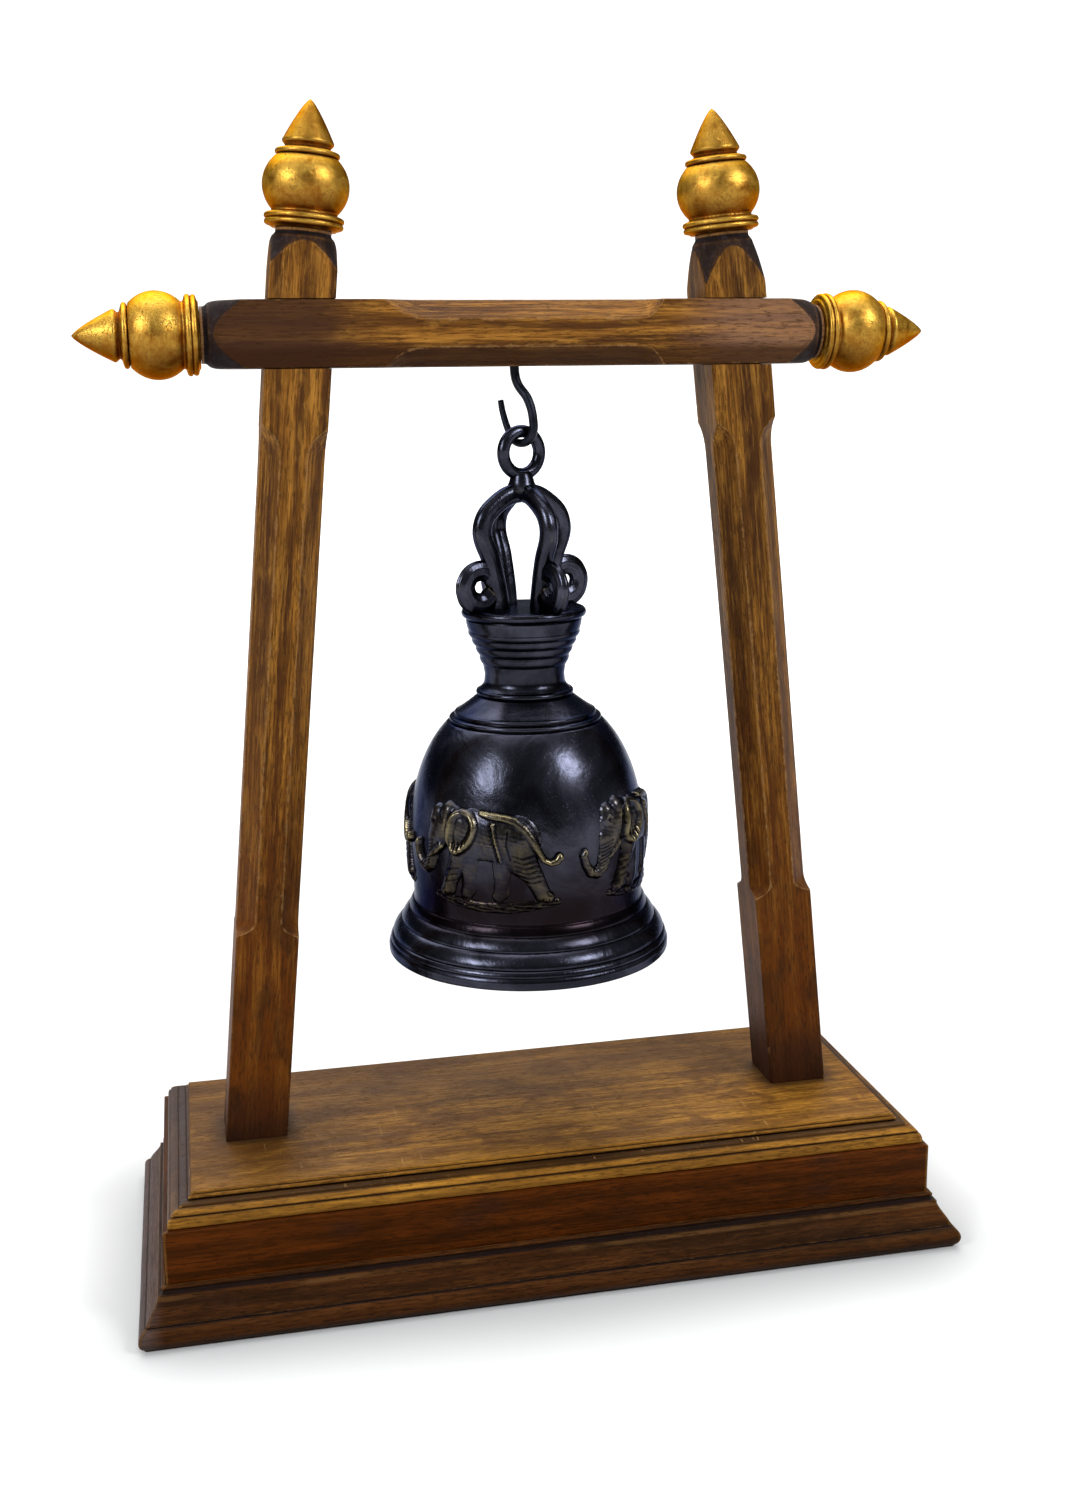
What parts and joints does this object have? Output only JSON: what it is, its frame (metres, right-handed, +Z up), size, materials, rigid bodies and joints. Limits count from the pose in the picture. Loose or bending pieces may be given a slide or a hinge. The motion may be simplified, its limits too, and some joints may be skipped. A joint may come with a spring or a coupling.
{
  "type": "hanging bell on a stand",
  "caption": "Cast bell with a scrolled crown and flared lip, hung by its ring from a hook under the crossbar of a leaning wooden frame with turned finials and a moulded base.",
  "frame": {"origin": "middle of the base's footprint, on the surface that the stand rests on", "axes": "+Z up, X along the crossbar, -Y towards the front, from which the bell is struck or seen"},
  "size_m": [0.4054, 0.179, 0.5501],
  "materials": {
    "board_wood": "stained hardwood, waxed, rubbed golden at the edges",
    "apron_wood": "dark red-brown stained hardwood, waxed",
    "frame_wood": "streaky walnut-stained hardwood, waxed, necks painted black",
    "raw_wood": "unstained sawn wood, unseen",
    "gold_leaf": "turned wood gilded with rubbed gold leaf over red-brown bole",
    "bronze": "near-black patinated cast bronze, half gloss, rubbed olive-gold on the relief",
    "black_iron": "blackened iron wire",
    "zinc_steel": "zinc-plated, unseen under the board"
  },
  "bodies": {
    "stand": {"top_board": "board_wood", "front_apron": "apron_wood", "right_apron": "apron_wood", "back_apron": "apron_wood", "left_apron": "apron_wood", "front_skirt": "apron_wood", "right_skirt": "apron_wood", "back_skirt": "apron_wood", "left_skirt": "apron_wood", "front_left_glue_block": "raw_wood", "back_left_glue_block": "raw_wood", "front_right_glue_block": "raw_wood", "back_right_glue_block": "raw_wood", "left_post": "frame_wood", "right_post": "frame_wood", "crossbar": "frame_wood", "left_post_finial": "gold_leaf", "right_post_finial": "gold_leaf", "left_bar_finial": "gold_leaf", "right_bar_finial": "gold_leaf", "left_post_washer": "zinc_steel", "right_post_washer": "zinc_steel", "left_post_screw": "zinc_steel", "right_post_screw": "zinc_steel", "bell_hook": "black_iron"},
    "bell": {"bell": "bronze", "clapper_staple": "black_iron"},
    "clapper": {"clapper_rod": "black_iron", "clapper_ball": "black_iron"}
  },
  "joints": [
    {"name": "bell_swing", "type": "hinge", "parent": "stand", "child": "bell", "pos_m": [0, 0, 0.3985], "axis": [-0.7071, 0.7071, 0], "range_deg": [-25, 25]},
    {"name": "clapper_swing", "type": "hinge", "parent": "bell", "child": "clapper", "pos_m": [0, 0, 0.3015], "axis": [-0.7071, 0.7071, 0], "range_deg": [-18, 18]}
  ]
}
